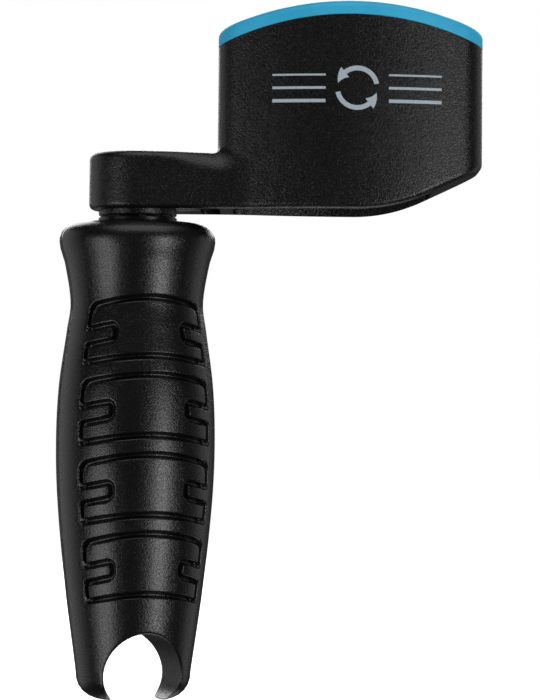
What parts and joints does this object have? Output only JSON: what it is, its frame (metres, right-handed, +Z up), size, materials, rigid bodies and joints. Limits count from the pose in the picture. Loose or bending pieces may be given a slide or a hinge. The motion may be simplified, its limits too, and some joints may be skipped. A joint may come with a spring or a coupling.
{
  "type": "string winder",
  "caption": "Crank with a lined slot-shaped socket that turns tuning keys, on a contoured grip that spins freely and ends in a bridge-pin puller.",
  "frame": {"origin": "on the spin axis, half way up the grip, where a hand holds it", "axes": "+Z up along the spin axis towards the crank, +X from the spin axis towards the head, -Y the side seen from the front"},
  "size_m": [0.0758, 0.0284, 0.1244],
  "materials": {
    "grip_plastic": "satin, fine moulded texture",
    "crank_plastic": "satin, fine moulded texture",
    "bushing_plastic": "satin",
    "blue_rubber": "matt, soft",
    "steel": "turned"
  },
  "bodies": {
    "grip": {"handle_front_shell": "grip_plastic", "handle_back_shell": "grip_plastic", "top_bushing": "bushing_plastic", "lower_bushing": "bushing_plastic"},
    "crank": {"crank_arm": "crank_plastic", "socket_liner": "blue_rubber", "spindle": "steel", "spindle_washer": "steel", "spindle_clip": "steel"}
  },
  "joints": [
    {"name": "crank_spin", "type": "hinge", "parent": "grip", "child": "crank", "pos_m": [0, 0, 0], "axis": [0, 0, 1], "continuous": true}
  ]
}
